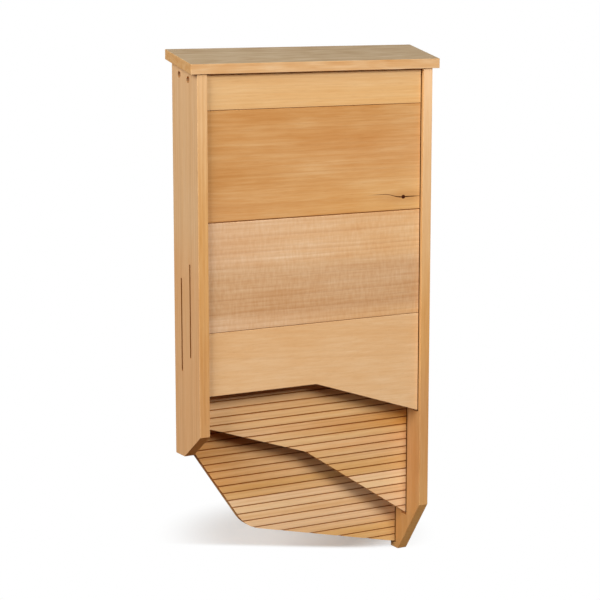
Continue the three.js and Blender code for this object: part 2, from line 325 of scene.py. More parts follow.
class Nodes:
    """Adds nodes to one node tree. Most calls return the new node's output, to feed the next."""

    def __init__(self, tree):
        self.tree = tree

    def add(self, kind, inputs=None, **settings):
        node = self.tree.nodes.new("ShaderNode" + kind)
        for name, value in settings.items():
            setattr(node, name, value)
        for name, value in (inputs or {}).items():
            self.feed(node.inputs[name], value)
        return node

    def feed(self, socket, value):
        if isinstance(value, bpy.types.NodeSocket):
            self.tree.links.new(value, socket)
        else:
            socket.default_value = value

    def math(self, operation, first, second=0.0, third=0.0):
        return self.add("Math", {0: first, 1: second, 2: third}, operation=operation).outputs[0]

    def vector(self, operation, first, second=(0, 0, 0)):
        return self.add("VectorMath", {0: first, 1: second}, operation=operation).outputs["Vector"]

    def length(self, vector):
        return self.add("VectorMath", {0: vector}, operation="LENGTH").outputs["Value"]

    def scaled(self, vector, factor):
        return self.add("VectorMath", {0: vector, "Scale": factor}, operation="SCALE").outputs["Vector"]

    def parts(self, vector):
        return self.add("SeparateXYZ", {"Vector": vector}).outputs

    def ramp(self, value, start, end, low=0.0, high=1.0, shape="SMOOTHSTEP"):
        """A value that goes from low at start to high at end."""
        limits = {"Value": value, "From Min": start, "From Max": end, "To Min": low, "To Max": high}
        return self.add("MapRange", limits, interpolation_type=shape).outputs["Result"]

    def fade(self, value, start, end):
        """A value that goes from one at start to zero at end."""
        return self.ramp(value, end, start)

    def noise(self, vector, size, detail=1.0):
        """Noise whose lumps have the given size in metres along X, Y and Z."""
        stretched = self.vector("DIVIDE", vector, size)
        return self.add("TexNoise", {"Vector": stretched, "Scale": 1.0, "Detail": detail}).outputs["Fac"]

    def mix(self, factor, first, second, blend="MIX"):
        node = self.add("Mix", data_type="RGBA", blend_type=blend)
        self.feed(node.inputs[0], factor)
        self.feed(node.inputs[6], first)
        self.feed(node.inputs[7], second)
        return node.outputs[2]

    def dot(self, first, second):
        return self.add("VectorMath", {0: first, 1: second}, operation="DOT_PRODUCT").outputs["Value"]

    def place_group(self, tree, inputs):
        node = self.add("Group", node_tree=tree)
        for name, value in inputs.items():
            self.feed(node.inputs[name], value)
        return node.outputs


def new_group(name, inputs, outputs):
    """An empty shader group, its Nodes, and its two ends."""
    tree = bpy.data.node_groups.new(name, "ShaderNodeTree")
    for title, kind, value in inputs:
        socket = tree.interface.new_socket(title, in_out="INPUT", socket_type="NodeSocket" + kind)
        socket.default_value = value
    for title, kind in outputs:
        tree.interface.new_socket(title, in_out="OUTPUT", socket_type="NodeSocket" + kind)
    into = tree.nodes.new("NodeGroupInput").outputs
    out = tree.nodes.new("NodeGroupOutput").inputs
    return Nodes(tree), into, out


def bare_timber():
    """Growth rings round the X axis of the position, with streaks, fibres, pores and cloudy patches."""
    nodes, into, out = new_group(
        "Bare timber",
        [
            ("Position", "Vector", (0, 0, 0)),
            ("Tone", "Color", WHITE),
            ("End Grain", "Float", 0),
            ("Ring Width", "Float", 0.004),
            ("Ring Strength", "Float", 0.2),
            ("Streak Strength", "Float", 0.3),
            ("Cloud Strength", "Float", 0.15),
            ("Flame Strength", "Float", 0.0),
            ("Ripple Strength", "Float", 0.0),
        ],
        [("Color", "Color"), ("Roughness", "Float"), ("Height", "Float")],
    )
    place = into["Position"]
    sway = nodes.add("TexNoise", {"Vector": nodes.vector("DIVIDE", place, SWAY_SIZE), "Scale": 1.0})
    sway = nodes.vector("SUBTRACT", sway.outputs["Color"], (NOISE_MIDDLE,) * 3)
    bent = nodes.vector("ADD", place, nodes.scaled(sway, SWAY))

    across = nodes.length(nodes.vector("MULTIPLY", bent, (0, 1, 1)))
    age = nodes.math("DIVIDE", across, into["Ring Width"])
    pace = nodes.math("MULTIPLY", age, GROWTH_PACE)
    growth = nodes.add("TexNoise", {"W": pace, "Scale": 1.0}, noise_dimensions="1D")
    age = nodes.math("MULTIPLY_ADD", growth.outputs["Fac"], GROWTH_SHIFT, age)
    season = nodes.math("FRACT", age)
    year = nodes.add("TexWhiteNoise", {"W": nodes.math("FLOOR", age)}, noise_dimensions="1D")
    rings = nodes.math("MULTIPLY", nodes.ramp(season, *LATE_WOOD_RISE), nodes.fade(season, *LATE_WOOD_FALL))
    rings = nodes.math("MULTIPLY", rings, nodes.ramp(year.outputs["Value"], 0, 1, FAINTEST_RING, 1))

    streaks = nodes.noise(bent, STREAK_SIZE, detail=3)
    fibres = nodes.noise(bent, FIBRE_SIZE, detail=3)
    cloud = nodes.noise(place, CLOUD_SIZE, detail=2)
    flame = nodes.noise(bent, FLAME_SIZE, detail=2)
    ripple = nodes.noise(place, RIPPLE_SIZE)
    pores = nodes.ramp(nodes.noise(bent, PORE_SIZE), *PORE_EDGE)

    depth = 1.0
    patterns = (
        (streaks, into["Streak Strength"]),
        (fibres, FIBRE_STRENGTH),
        (cloud, into["Cloud Strength"]),
        (flame, into["Flame Strength"]),
        (ripple, into["Ripple Strength"]),
    )
    for pattern, strength in patterns:
        depth = nodes.math("MULTIPLY_ADD", nodes.math("SUBTRACT", NOISE_MIDDLE, pattern), strength, depth)
    colour = nodes.add("Gamma", {"Color": into["Tone"], "Gamma": depth}).outputs["Color"]
    colour = nodes.mix(nodes.math("MULTIPLY", rings, into["Ring Strength"]), colour, LATE_WOOD, "MULTIPLY")
    colour = nodes.mix(nodes.math("MULTIPLY", pores, PORE_STRENGTH), colour, PORE, "MULTIPLY")
    nodes.feed(out["Color"], nodes.mix(into["End Grain"], colour, CROSS_CUT, "MULTIPLY"))

    rough = nodes.math("MULTIPLY_ADD", fibres, FIBRE_ROUGHNESS, TIMBER_ROUGHNESS)
    nodes.feed(out["Roughness"], nodes.math("MULTIPLY_ADD", into["End Grain"], CROSS_CUT_ROUGHNESS, rough))
    height = nodes.math("MULTIPLY_ADD", rings, RING_HEIGHT, fibres)
    nodes.feed(out["Height"], nodes.math("MULTIPLY_ADD", pores, PORE_HEIGHT, height))
    return nodes.tree


def end_grain():
    """Where a face cuts across the grain, which runs along the given direction."""
    nodes, into, out = new_group("End grain", [("Along", "Vector", (1, 0, 0))], [("Mask", "Float")])
    across = nodes.math("ABSOLUTE", nodes.dot(nodes.add("TexCoord").outputs["Normal"], into["Along"]))
    nodes.feed(out["Mask"], nodes.ramp(across, *END_GRAIN_EDGE))
    return nodes.tree


def facing_one_way():
    """Where a face looks straight in the given direction."""
    nodes, into, out = new_group("Facing", [("Way", "Vector", TO_FRONT)], [("Mask", "Float")])
    facing = nodes.dot(nodes.add("TexCoord").outputs["Normal"], into["Way"])
    nodes.feed(out["Mask"], nodes.ramp(facing, *FACING_EDGE))
    return nodes.tree


def crease_shade():
    """Painted shade in what lies behind the panel's face: its grooves, the joints between its boards, its end
    gaps.
    """
    nodes, into, out = new_group(
        "Crease shade",
        [
            ("Position", "Vector", (0, 0, 0)),
            ("Face", "Float", 0),
            ("Start", "Float", GROOVE_SHADE[0]),
            ("Dark", "Float", GROOVE_SHADE[1]),
        ],
        [("Mask", "Float")],
    )
    behind = nodes.math("SUBTRACT", nodes.parts(into["Position"])[1], into["Face"])
    dark = nodes.ramp(behind, into["Start"], into["Dark"])
    nodes.feed(out["Mask"], nodes.math("MULTIPLY", nodes.fade(behind, *SHADE_FADE), dark))
    return nodes.tree


def vent_wall_shade():
    """Painted shade on the walls of the slots and holes through a side board, a little way in from its outer
    face.
    """
    nodes, into, out = new_group("Vent wall shade", [("Position", "Vector", (0, 0, 0))], [("Mask", "Float")])
    x, y, height = nodes.parts(into["Position"])
    behind = nodes.math("SUBTRACT", OUTER_FACE, nodes.math("ABSOLUTE", x))
    inside = nodes.math("MULTIPLY", nodes.ramp(behind, *VENT_DARK_FROM), nodes.fade(behind, *VENT_DARK_TO))
    from_middle = nodes.math("ABSOLUTE", nodes.math("SUBTRACT", y, VENT_MIDDLE))
    from_vent = nodes.math("ABSOLUTE", nodes.math("SUBTRACT", from_middle, VENT_SPACING / 2))
    inside = nodes.math("MULTIPLY", inside, nodes.fade(from_vent, *VENT_DARK_REACH))
    at_slots = nodes.ramp(height, VENT_SLOT_TOP[1], VENT_SLOT_TOP[0], VENT_HOLE_SHARE, 1)
    inside = nodes.math("MULTIPLY", inside, at_slots)
    nodes.feed(out["Mask"], nodes.math("MULTIPLY", inside, nodes.ramp(height, *VENT_SLOT_FOOT)))
    return nodes.tree


def pin_knot():
    """A pin knot with a dark bark seam that runs out along the grain, which bends round it."""
    nodes, into, out = new_group(
        "Pin knot",
        [("Position", "Vector", (0, 0, 0)), ("Centre", "Vector", (0, 0, 0))],
        [("Position", "Vector"), ("Mask", "Float"), ("Halo", "Float")],
    )
    offset = nodes.vector("SUBTRACT", into["Position"], into["Centre"])
    along, _, up = nodes.parts(offset)
    left = nodes.math("MULTIPLY", along, -1)
    rise = nodes.ramp(left, *SEAM_RISE_FROM, 0, SEAM_RISE)
    from_seam = nodes.math("ABSOLUTE", nodes.math("SUBTRACT", up, rise))
    half_width = nodes.ramp(nodes.math("ABSOLUTE", along), 0, SEAM_TAPER, *SEAM_HALF_WIDTH)
    seam = nodes.fade(nodes.math("DIVIDE", from_seam, half_width), *SEAM_EDGE)
    seam = nodes.math("MULTIPLY", seam, nodes.fade(left, *SEAM_LEFT_END))
    seam = nodes.math("MULTIPLY", seam, nodes.fade(along, *SEAM_RIGHT_END))
    distance = nodes.length(nodes.vector("MULTIPLY", offset, KNOT_FLATNESS))
    core = nodes.fade(nodes.math("DIVIDE", distance, KNOT_RADIUS), *KNOT_EDGE)
    nodes.feed(out["Mask"], nodes.math("MAXIMUM", core, seam))
    halo = nodes.fade(nodes.length(nodes.vector("MULTIPLY", offset, HALO_FLATNESS)), *HALO_EDGE)
    nodes.feed(out["Halo"], halo)
    push = nodes.math("MULTIPLY", nodes.math("MULTIPLY", up, halo), HALO_PUSH)
    bend = nodes.add("CombineXYZ", {"Z": push}).outputs["Vector"]
    nodes.feed(out["Position"], nodes.vector("ADD", into["Position"], bend))
    return nodes.tree


def zinc_plating():
    """Dull zinc plating with fine crossing scratches and cloudy wear."""
    nodes, into, out = new_group(
        "Zinc plating",
        [("Position", "Vector", (0, 0, 0)), ("Tone", "Color", WHITE), ("Wear", "Color", WHITE)],
        [("Color", "Color"), ("Roughness", "Float"), ("Height", "Float")],
    )
    cloud = nodes.noise(into["Position"], WEAR_SIZE, detail=3)
    scratches = nodes.noise(into["Position"], SCRATCH_SIZE, detail=2)
    nodes.feed(out["Color"], nodes.mix(nodes.ramp(cloud, *WEAR_EDGE), into["Tone"], into["Wear"]))
    nodes.feed(out["Roughness"], nodes.math("MULTIPLY_ADD", cloud, WEAR_ROUGHNESS, ZINC_ROUGHNESS))
    nodes.feed(out["Height"], scratches)
    return nodes.tree


TIMBER_GROUP = bare_timber()
END_GROUP = end_grain()
FACING_GROUP = facing_one_way()
CREASE_SHADE_GROUP = crease_shade()
VENT_SHADE_GROUP = vent_wall_shade()
KNOT_GROUP = pin_knot()
ZINC_GROUP = zinc_plating()


def new_material(name):
    """A material with an empty Principled shader, its Nodes and that shader."""
    material = bpy.data.materials.new(name)
    material.use_nodes = True
    return material, Nodes(material.node_tree), material.node_tree.nodes["Principled BSDF"]


def finish_surface(nodes, shader, surface, strength, depth):
    """Gives a shader the roughness of a surface, and its height as a bump of the given depth."""
    nodes.feed(shader.inputs["Roughness"], surface["Roughness"])
    bump = nodes.add("Bump", {"Height": surface["Height"], "Strength": strength, "Distance": depth})
    nodes.feed(shader.inputs["Normal"], bump.outputs["Normal"])


def tone_ramp(nodes, height, tones):
    """The board's colour at a height, from (drop, timber colour) pairs from the top down."""
    first = tones[0][0]
    last = tones[-1][0]
    share = nodes.ramp(height, TOP - first, TOP - last, shape="LINEAR")
    node = nodes.add("ValToRGB", {"Fac": share})
    node.color_ramp.interpolation = "EASE"
    stops = node.color_ramp.elements
    stops.remove(stops[-1])
    for index, (drop, name) in enumerate(tones):
        position = (drop - first) / (last - first)
        stop = stops[0] if index == 0 else stops.new(position)
        stop.position = position
        stop.color = linear(TIMBER[name])
    return node.outputs["Color"]


def timber(
    name, left, right=None, sides=(), heart=(0, 0.2, 0.4), run=LEVEL, tilt=(0, 0), knot=None, vented=False,
    face=None, cut=GROOVE_SHADE, **figure
):
    """Bare timber, with painted shade in a panel's grooves, joints and end gaps and in a side board's vents.
    left and right are tones at the board's two ends, and sides has the ways that some faces look, with their
    own tones, among them the painted sheen of the roof's top and the painted light of the foot bevels. heart
    is a point on the tree's pith, run is the way that the grain runs, and tilt turns the pith out of that
    way.
    face is the panel's face, and cut has the depths at which a groove's or joint's painted shade begins and
    is darkest."""
    material, nodes, shader = new_material(name)
    place = nodes.add("TexCoord").outputs["Object"]
    x, _, height = nodes.parts(place)
    tone = tone_ramp(nodes, height, left)
    if right:
        share = nodes.ramp(x, -INNER_FACE, INNER_FACE, shape="LINEAR")
        tone = nodes.mix(share, tone, tone_ramp(nodes, height, right))
    for way, tones in sides:
        turned_there = nodes.place_group(FACING_GROUP, {"Way": way})["Mask"]
        tone = nodes.mix(turned_there, tone, tone_ramp(nodes, height, tones))
    grain_place = place
    if knot:
        knotted = nodes.place_group(KNOT_GROUP, {"Position": place, "Centre": knot})
        grain_place = knotted["Position"]
    turned = nodes.add("Mapping", {"Vector": grain_place, "Location": heart}, vector_type="TEXTURE")
    turned.inputs["Rotation"].default_value = (run[0], run[1] + tilt[0], run[2] + tilt[1])
    along = (0, 0, 1) if run == UPRIGHT else (1, 0, 0)
    inputs = {"Position": turned.outputs["Vector"], "Tone": tone}
    inputs["End Grain"] = nodes.place_group(END_GROUP, {"Along": along})["Mask"]
    inputs.update(figure)
    surface = nodes.place_group(TIMBER_GROUP, inputs)
    colour = surface["Color"]
    if knot:
        rim = nodes.math("MULTIPLY", knotted["Halo"], KNOT_RIM_STRENGTH)
        colour = nodes.mix(rim, colour, KNOT_RIM, "MULTIPLY")
        colour = nodes.mix(knotted["Mask"], colour, linear(KNOT_BARK))
    # painted shade on the walls of the vents
    if vented:
        walls = nodes.place_group(VENT_SHADE_GROUP, {"Position": place})["Mask"]
        colour = nodes.mix(walls, colour, VENT_SHADE, "MULTIPLY")
    # painted shade in the panel's grooves, joints and end gaps
    if face is not None:
        inputs = {"Position": place, "Face": face, "Start": cut[0], "Dark": cut[1]}
        painted_shading = nodes.place_group(CREASE_SHADE_GROUP, inputs)["Mask"]
        colour = nodes.mix(nodes.math("MULTIPLY", painted_shading, CREASE_SHADE_STRENGTH), colour, CREASE_SHADE, "MULTIPLY")
    nodes.feed(shader.inputs["Base Color"], colour)
    finish_surface(nodes, shader, surface, GRAIN_STRENGTH, GRAIN_DEPTH)
    shader.inputs["Specular IOR Level"].default_value = TIMBER_GLOSS
    return material


def zinc(name, tone, wear):
    """Zinc plating whose colour goes from tone to wear."""
    material, nodes, shader = new_material(name)
    place = nodes.add("TexCoord").outputs["Object"]
    inputs = {"Position": place, "Tone": linear(tone), "Wear": linear(wear)}
    surface = nodes.place_group(ZINC_GROUP, inputs)
    nodes.feed(shader.inputs["Base Color"], surface["Color"])
    finish_surface(nodes, shader, surface, SCRATCH_STRENGTH, SCRATCH_DEPTH)
    shader.inputs["Metallic"].default_value = 1
    return material


# Timber of each board that the photographed side shows: its tones by drop, the tree's heart, and how strong
# its figure is
BOARD_TIMBER = {
    "side_board_left": dict(
        left=[(0, "rose"), (0.25, "rose"), (0.36, "sand"), (0.63, "sand")],
        sides=[
            (TO_FRONT, [(0, "almond"), (0.3, "toffee"), (0.63, "caramel")]),
            # painted light from the floor on the bevel at the foot
            (LEFT_BEVEL, [(0, "painted_shading"), (1, "painted_shading")]),
        ],
        heart=(-0.16, -0.043, 1.1), run=UPRIGHT, vented=True, **{"Ring Strength": 0.2},
    ),
    "side_board_right": dict(
        left=[(0, "gold"), (0.5, "gold"), (0.68, "caramel"), (0.84, "toffee")],
        sides=[
            (TO_FRONT, [
                (0, "shell"), (0.22, "almond"), (0.46, "toffee"), (0.6, "caramel"), (0.84, "toffee"),
            ]),
            # painted light from the floor on the bevel at the foot
            (RIGHT_BEVEL, [(0, "painted_floor_light"), (1, "painted_floor_light")]),
        ],
        heart=(0.26, -0.3, 2.1), run=UPRIGHT, vented=True, **{"Ring Strength": 0.16},
    ),
    "roof_board": dict(
        # The roof's top takes a greyer tone: a painted sheen of the white room
        left=[(0, "wheat"), (0.04, "wheat")], sides=[(UP_THE_ROOF, [(0, "painted_sheen"), (0.04, "painted_sheen")])],
        heart=(0.8, 0.02, -0.05), **{"Flame Strength": 0.7},
    ),
    "front_board_1": dict(
        left=[(0.035, "straw"), (0.09, "straw")],
        right=[(0.035, "straw"), (0.09, "gold")],
        heart=(1.3, 0.1, 0.5), face=FRONT_FACE, cut=JOINT_SHADE,
        **{"Ring Width": 0.005, "Ring Strength": 0.15},
    ),
    "front_board_2": dict(
        left=[(0.09, "honey"), (0.19, "honey"), (0.26, "caramel")],
        right=[(0.09, "honey"), (0.16, "caramel"), (0.26, "gold")],
        heart=(2.1, 0.15, -0.35), knot=(0.160, -0.08, -0.139), face=FRONT_FACE, cut=JOINT_SHADE,
        **{"Ring Width": 0.007, "Ring Strength": 0.15, "Cloud Strength": 0.5, "Flame Strength": 0.15},
    ),
    "front_board_3": dict(
        left=[(0.26, "blush"), (0.32, "blush"), (0.34, "driftwood"), (0.4, "driftwood"), (0.42, "blush")],
        right=[(0.26, "peach"), (0.32, "peach"), (0.35, "driftwood"), (0.405, "driftwood"), (0.43, "peach")],
        heart=(3.7, 0.3, 0.2), face=FRONT_FACE, cut=JOINT_SHADE,
        **{"Ring Width": 0.006, "Ring Strength": 0.22, "Streak Strength": 0.42, "Cloud Strength": 0.4,
           "Ripple Strength": 0.3},
    ),
    "front_board_4": dict(
        left=[(0.43, "peach"), (0.53, "rose")],
        heart=(4.9, 0.02, -0.4), tilt=(0.03, 0.05), face=FRONT_FACE, cut=JOINT_SHADE,
        **{"Ring Width": 0.008, "Ring Strength": 0.1, "Cloud Strength": 0.3},
    ),
    "partition_board_4": dict(
        left=[(0.52, "butter"), (0.595, "butter"), (0.606, "shell"), (0.617, "cream"), (0.64, "cream"),
              (0.652, "apricot"), (0.68, "gold"), (0.69, "apricot")],
        right=[(0.52, "sand"), (0.59, "gold"), (0.606, "amber"), (0.618, "amber"), (0.63, "gold"),
               (0.642, "sand"), (0.66, "rose"), (0.68, "gold"), (0.69, "gold")],
        heart=(5.3, 0.2, 0.1), face=PARTITION_FACE, **{"Ring Width": 0.006, "Flame Strength": 0.2},
    ),
    "partition_board_5": dict(
        left=[(0.7, "shell"), (0.712, "cream"), (0.722, "cream"), (0.728, "butter"), (0.745, "shell")],
        heart=(6.1, 0.1, 0.3), face=PARTITION_FACE, **{"Ring Width": 0.006},
    ),
    "back_board_4": dict(
        left=[(0.54, "ginger"), (0.69, "ginger"), (0.701, "toffee"), (0.713, "gold"), (0.72, "apricot")],
        right=[(0.54, "cream"), (0.688, "cream"), (0.701, "apricot"), (0.713, "butter"), (0.72, "butter")],
        sides=[(TO_BACK, [(0.54, "toffee"), (0.72, "straw")])],
        heart=(7.7, 0.3, -0.2), face=BACK_FACE, **{"Ring Width": 0.006, "Flame Strength": 0.15},
    ),
    "back_board_5": dict(
        left=[(0.72, "shell"), (0.744, "cream"), (0.752, "butter"), (0.764, "shell"), (0.778, "shell"),
              (0.79, "butter"), (0.802, "apricot"), (0.84, "apricot")],
        right=[(0.72, "shell"), (0.744, "shell"), (0.752, "butter"), (0.764, "shell"), (0.778, "shell"),
               (0.79, "butter"), (0.802, "apricot"), (0.84, "apricot")],
        sides=[(TO_BACK, [(0.72, "sand"), (0.84, "gold")])],
        heart=(8.9, 0.2, 0.2), face=BACK_FACE, **{"Ring Width": 0.006},
    ),
}

# Tones of the boards that the front hides, and the tree's heart in them, which moves on from board to board
HIDDEN_TONES = ["peach", "gold", "straw", "toffee"]
HIDDEN_HEART = (0, 0.2, -0.5)
HIDDEN_HEART_STEP = (1.37, 0, 0.13)

PANEL_FACES = {"front": FRONT_FACE, "partition": PARTITION_FACE, "back": BACK_FACE}


def board_look(node, number):
    """The named board's own timber, or for a hidden board, one that follows from its number."""
    if node in BOARD_TIMBER:
        return timber(node, **BOARD_TIMBER[node])
    tone = HIDDEN_TONES[number % len(HIDDEN_TONES)]
    heart = [start + step * number for start, step in zip(HIDDEN_HEART, HIDDEN_HEART_STEP)]
    return timber(node, [(0, tone), (1, tone)], heart=heart, face=PANEL_FACES[node.split("_")[0]])


def finish_piece(bm, name, node, material):
    """Makes an object of the mesh, which stands for the CAD node and rides on the part."""
    mesh = bpy.data.meshes.new(name)
    bm.to_mesh(mesh)
    bm.free()
    piece = bpy.data.objects.new(name, mesh)
    bpy.context.scene.collection.objects.link(piece)
    mesh.materials.append(material)
    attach(piece, "root")
    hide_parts(node)


def whole_faces(node):
    """A copy of a CAD node's mesh, its corners merged and its flat faces whole."""
    bm = bmesh.new()
    bm.from_mesh(frame["nodes"][node].data)
    bmesh.ops.remove_doubles(bm, verts=bm.verts, dist=MERGE_DISTANCE)
    bmesh.ops.dissolve_limit(bm, angle_limit=FLAT_ANGLE, verts=bm.verts, edges=bm.edges)
    return bm


def ease(bm, width, chosen, steps=EASE_STEPS):
    """Rounds the chosen ones among a mesh's outer corners."""
    arrises = [e for e in bm.edges if e.is_convex and e.calc_face_angle(0) > ARRIS_ANGLE and chosen(e)]
    bmesh.ops.bevel(
        bm, geom=arrises, offset=width, affect="EDGES", segments=steps, profile=0.5, material=-1,
        clamp_overlap=False,
    )
    bmesh.ops.dissolve_degenerate(bm, dist=WELD_DISTANCE, edges=bm.edges)


def is_level(edge):
    """Whether an edge runs at one height."""
    return abs(edge.verts[0].co.z - edge.verts[1].co.z) < LEVEL_LIMIT


def in_side_plane(edge):
    """Whether an edge lies in a plane that is parallel to the side boards."""
    return abs(edge.verts[0].co.x - edge.verts[1].co.x) < LEVEL_LIMIT


def in_housing(edge):
    """Whether an edge of a panel lies wholly inside one side board's housing."""
    ends = [vert.co.x for vert in edge.verts]
    return min(ends) > INNER_FACE or max(ends) < -INNER_FACE


def at_hanger(edge):
    """Whether an edge of the uppermost back board borders the recess for a keyhole plate."""
    return all(abs(abs(vert.co.x) - HANGER_X) < HANGER_ROOM for vert in edge.verts)


def lines_vent(face):
    """Whether a face of a side board is part of the wall of one of its vents."""
    return any(all(abs(vert.co.y - y) < VENT_LIMIT for vert in face.verts) for y, _ in VENT_HOLES)


def meets_recess(edge):
    """Whether an edge of a side board borders a housing or a dowel hole, which end inside the board."""
    low = INNER_FACE + LEVEL_LIMIT
    high = OUTER_FACE - LEVEL_LIMIT
    for face in edge.link_faces:
        if any(low < abs(vert.co.x) < high for vert in face.verts):
            return True
    return False


def round_vent_holes(bm):
    """Turns the round holes' few-sided walls into smooth ones."""
    for y, z in VENT_HOLES:
        def from_centre(vert):
            return Vector((0, vert.co.y - y, vert.co.z - z))

        rim = {v for v in bm.verts if abs(from_centre(v).length - VENT_RADIUS) < VENT_EASE}
        arcs = [e for e in bm.edges if rim.issuperset(e.verts) and in_side_plane(e)]
        cut = bmesh.ops.subdivide_edges(bm, edges=arcs, cuts=RIM_CUTS)
        for vert in {g for g in cut["geom_inner"] if isinstance(g, bmesh.types.BMVert)}:
            outward = from_centre(vert)
            vert.co += outward.normalized() * (VENT_RADIUS - outward.length)


def side_board(node):
    """A side board with smooth vent holes, its outer edges and its vents' rims eased."""
    bm = whole_faces(node)
    round_vent_holes(bm)
    rims = {e for f in bm.faces if lines_vent(f) for e in f.edges}
    ease(bm, VENT_EASE, lambda edge: edge in rims)
    ease(bm, BOARD_EASE, lambda edge: edge.calc_length() > SIDE_ARRIS and not meets_recess(edge))
    return bm


def roof_board(node):
    """The roof board with its outer edges eased, but not the dowel holes in its underside."""
    bm = whole_faces(node)
    ease(bm, BOARD_EASE, lambda edge: edge.calc_length() > ROOF_ARRIS)
    return bm


def cut_shoulders(bm):
    """Sets a panel board's face back at both ends, which leaves a narrow gap beside the side boards."""
    front = min(vert.co.y for vert in bm.verts)
    for side in (-1, 1):
        for x in (SHOULDER_START, SHOULDER_FULL):
            everything = bm.verts[:] + bm.edges[:] + bm.faces[:]
            bmesh.ops.bisect_plane(
                bm, geom=everything, dist=LEVEL_LIMIT, plane_co=(side * x, 0, 0), plane_no=(1, 0, 0),
            )
    for vert in bm.verts:
        if abs(vert.co.x) > SHOULDER_FULL - LEVEL_LIMIT:
            vert.co.y = max(vert.co.y, front + SHOULDER_DEPTH)


def at_wide_joint(edge):
    """Whether an edge of a front board lies at the wide joint."""
    return all(abs(vert.co.z - WIDE_JOINT) < JOINT_ROOM for vert in edge.verts)


def is_past_wide_joint(edge):
    """Whether an edge of a front board lies clear of the wide joint and its rounding."""
    return abs(edge.verts[0].co.z - WIDE_JOINT) > EASED_ROOM


def front_board(node):
    """A plain board of the front, with its edges eased, more so at the wide joint."""
    bm = whole_faces(node)
    ease(bm, WIDE_JOINT_EASE, lambda edge: not in_housing(edge) and at_wide_joint(edge))
    ease(bm, JOINT_EASE, lambda edge: not in_housing(edge) and is_past_wide_joint(edge))
    cut_shoulders(bm)
    return bm


def grooved_board(node):
    """A board of the partition or the back: its plain face's joints and its lower edge, cut on a slant, are
    eased.
    """
    bm = whole_faces(node)
    rear = max(vert.co.y for vert in bm.verts)

    def on_plain_face(edge):
        return all(vert.co.y > rear - LEVEL_LIMIT for vert in edge.verts)

    def is_chosen(edge):
        return not in_housing(edge) and not at_hanger(edge) and (on_plain_face(edge) or not is_level(edge))

    ease(bm, GROOVED_EASE, is_chosen)
    cut_shoulders(bm)
    return bm


def ring_on(bm, ring, depth, radius):
    """Carries a ring of edges round the Z axis on to a new depth and radius, and returns the new ring."""
    made = bmesh.ops.extrude_edge_only(bm, edges=ring)["geom"]
    for vert in [g for g in made if isinstance(g, bmesh.types.BMVert)]:
        outward = Vector((vert.co.x, vert.co.y, 0)).normalized()
        turn = atan2(outward.y, outward.x) / (2 * pi)
        vert.co = outward * (radius(turn) if callable(radius) else radius) + Vector((0, 0, depth))
    return [g for g in made if isinstance(g, bmesh.types.BMEdge)]


def cross_recess(bm):
    """A cross recess that narrows as it goes down from z = 0, and the edges of its mouth."""
    bmesh.ops.create_grid(bm, x_segments=3, y_segments=3, size=CROSS_ARM)
    corners = []
    for face in bm.faces:
        middle = face.calc_center_median()
        if min(abs(middle.x), abs(middle.y)) > CROSS_ARM / 3:
            corners.append(face)
    bmesh.ops.delete(bm, geom=corners, context="FACES")
    bmesh.ops.scale(bm, verts=bm.verts, vec=(CROSS_TAPER, CROSS_TAPER, 1))
    bmesh.ops.translate(bm, verts=bm.verts, vec=(0, 0, CROSS_DEPTH))
    rim = [e for e in bm.edges if e.is_boundary]
    made = bmesh.ops.extrude_edge_only(bm, edges=rim)["geom"]
    mouth = [g for g in made if isinstance(g, bmesh.types.BMVert)]
    bmesh.ops.scale(bm, verts=mouth, vec=(1 / CROSS_TAPER, 1 / CROSS_TAPER, 1))
    bmesh.ops.translate(bm, verts=mouth, vec=(0, 0, -CROSS_DEPTH))
    return [g for g in made if isinstance(g, bmesh.types.BMEdge)]


def plate_screw(node):
    """A countersunk wood screw: its head lies in the plate's face and its point is inside the board."""
    low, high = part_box(node)
    head_radius = (high.x - low.x) / 2
    length = high.y - low.y
    bm = bmesh.new()
    mouth = cross_recess(bm)
    made = bmesh.ops.create_circle(bm, cap_ends=False, radius=head_radius, segments=ROUND_STEPS)
    ring = list({e for v in made["verts"] for e in v.link_edges})
    bmesh.ops.triangle_fill(bm, use_beauty=True, use_dissolve=False, edges=mouth + ring)
    ring = ring_on(bm, ring, SCREW_HEAD_DEPTH, SCREW_SHANK_RADIUS)
    ring = ring_on(bm, ring, THREAD_START, SCREW_SHANK_RADIUS)

    def thread(depth):
        def radius(turn):
            phase = ((depth - THREAD_START) / THREAD_PITCH - turn) % 1
            return SCREW_ROOT_RADIUS + (SCREW_SHANK_RADIUS - SCREW_ROOT_RADIUS) * abs(2 * phase - 1)
        return radius

    threaded = length - SCREW_POINT_LENGTH - THREAD_START
    rows = round(threaded / THREAD_PITCH * THREAD_ROWS_PER_TURN)
    for row in range(1, rows + 1):
        depth = THREAD_START + threaded * row / rows
        ring = ring_on(bm, ring, depth, thread(depth))
    tip = {vert for edge in ring_on(bm, ring, length, SCREW_ROOT_RADIUS / 2) for vert in edge.verts}
    bmesh.ops.pointmerge(bm, verts=list(tip), merge_co=(0, 0, length))
    bmesh.ops.recalc_face_normals(bm, faces=bm.faces)
    return to_wall(bm, low, high)


def to_wall(bm, low, high):
    """Stands up a piece that is drawn flat, so that its depth goes from the wall into the board."""
    bmesh.ops.rotate(bm, verts=bm.verts, cent=(0, 0, 0), matrix=Matrix.Rotation(radians(90), 3, "X"))
    bmesh.ops.translate(bm, verts=bm.verts, vec=((low.x + high.x) / 2, high.y, (low.z + high.z) / 2))
    return bm


